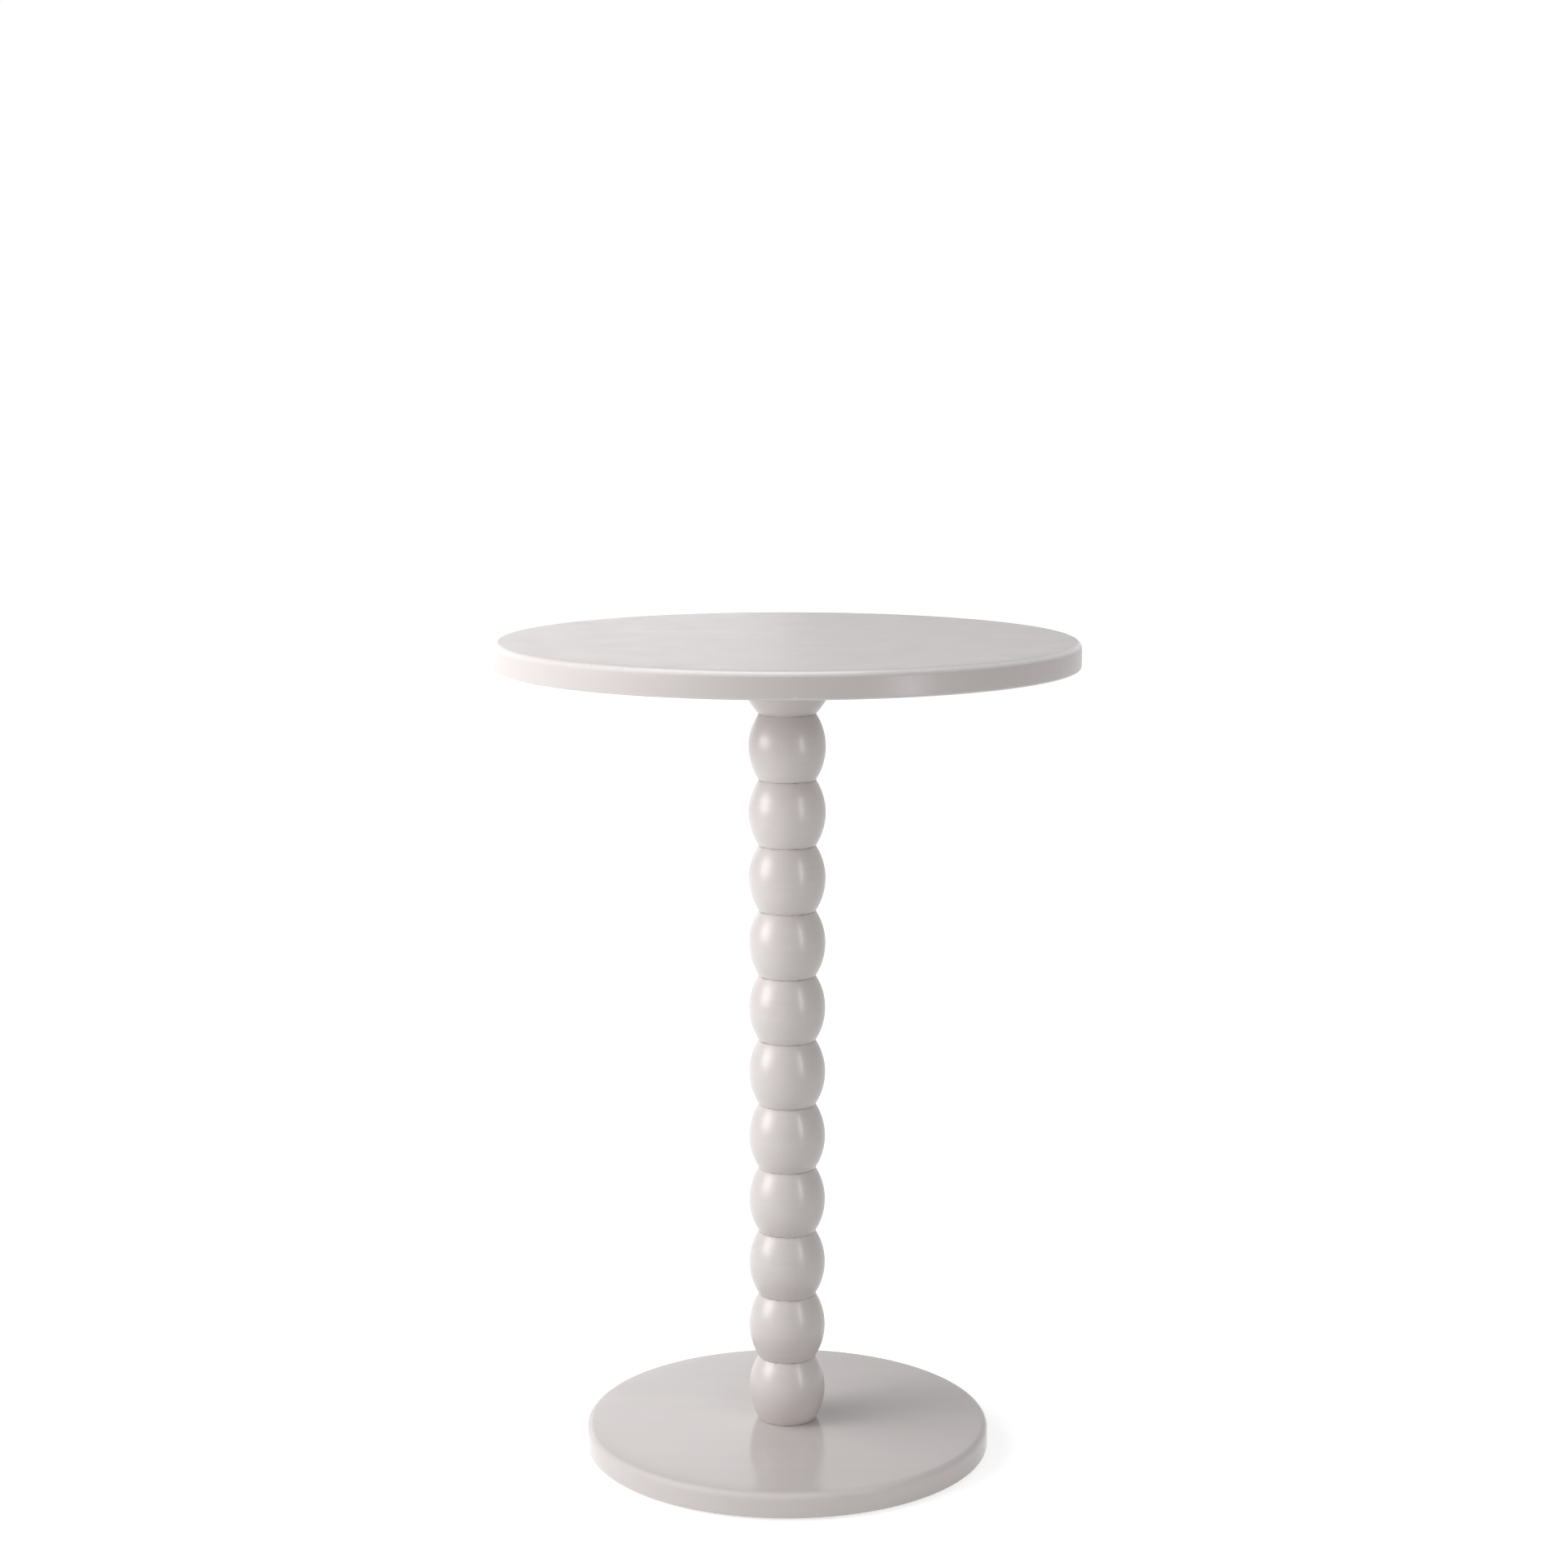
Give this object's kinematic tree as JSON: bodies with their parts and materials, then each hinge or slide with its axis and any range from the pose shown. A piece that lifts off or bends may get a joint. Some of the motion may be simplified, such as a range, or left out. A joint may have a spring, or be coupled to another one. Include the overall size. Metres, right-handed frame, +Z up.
{
  "type": "wine table",
  "caption": "Small round side table on a bobbin stem of stacked turned beads, with a round disc base, painted light grey, for a glass or a lamp beside a chair.",
  "frame": {"origin": "on the floor under the middle of the base", "axes": "+Z up along the stem, towards the table top; the table is round, so X and Y are free"},
  "size_m": [0.35, 0.35, 0.502],
  "materials": {
    "painted_wood": "satin light grey paint",
    "zinc_steel": "bright zinc plate",
    "felt": "pressed felt"
  },
  "bodies": {
    "root": {"base": "painted_wood", "bead_01": "painted_wood", "bead_02": "painted_wood", "bead_03": "painted_wood", "bead_04": "painted_wood", "bead_05": "painted_wood", "bead_06": "painted_wood", "bead_07": "painted_wood", "bead_08": "painted_wood", "bead_09": "painted_wood", "bead_10": "painted_wood", "bead_11": "painted_wood", "collar": "painted_wood", "table_top": "painted_wood", "base_nut": "zinc_steel", "lock_washer": "zinc_steel", "base_washer": "zinc_steel", "tie_rod": "zinc_steel", "top_plate": "zinc_steel", "top_plate_screws": "zinc_steel", "felt_pad_1": "felt", "felt_pad_2": "felt", "felt_pad_3": "felt", "felt_pad_4": "felt"}
  },
  "joints": []
}
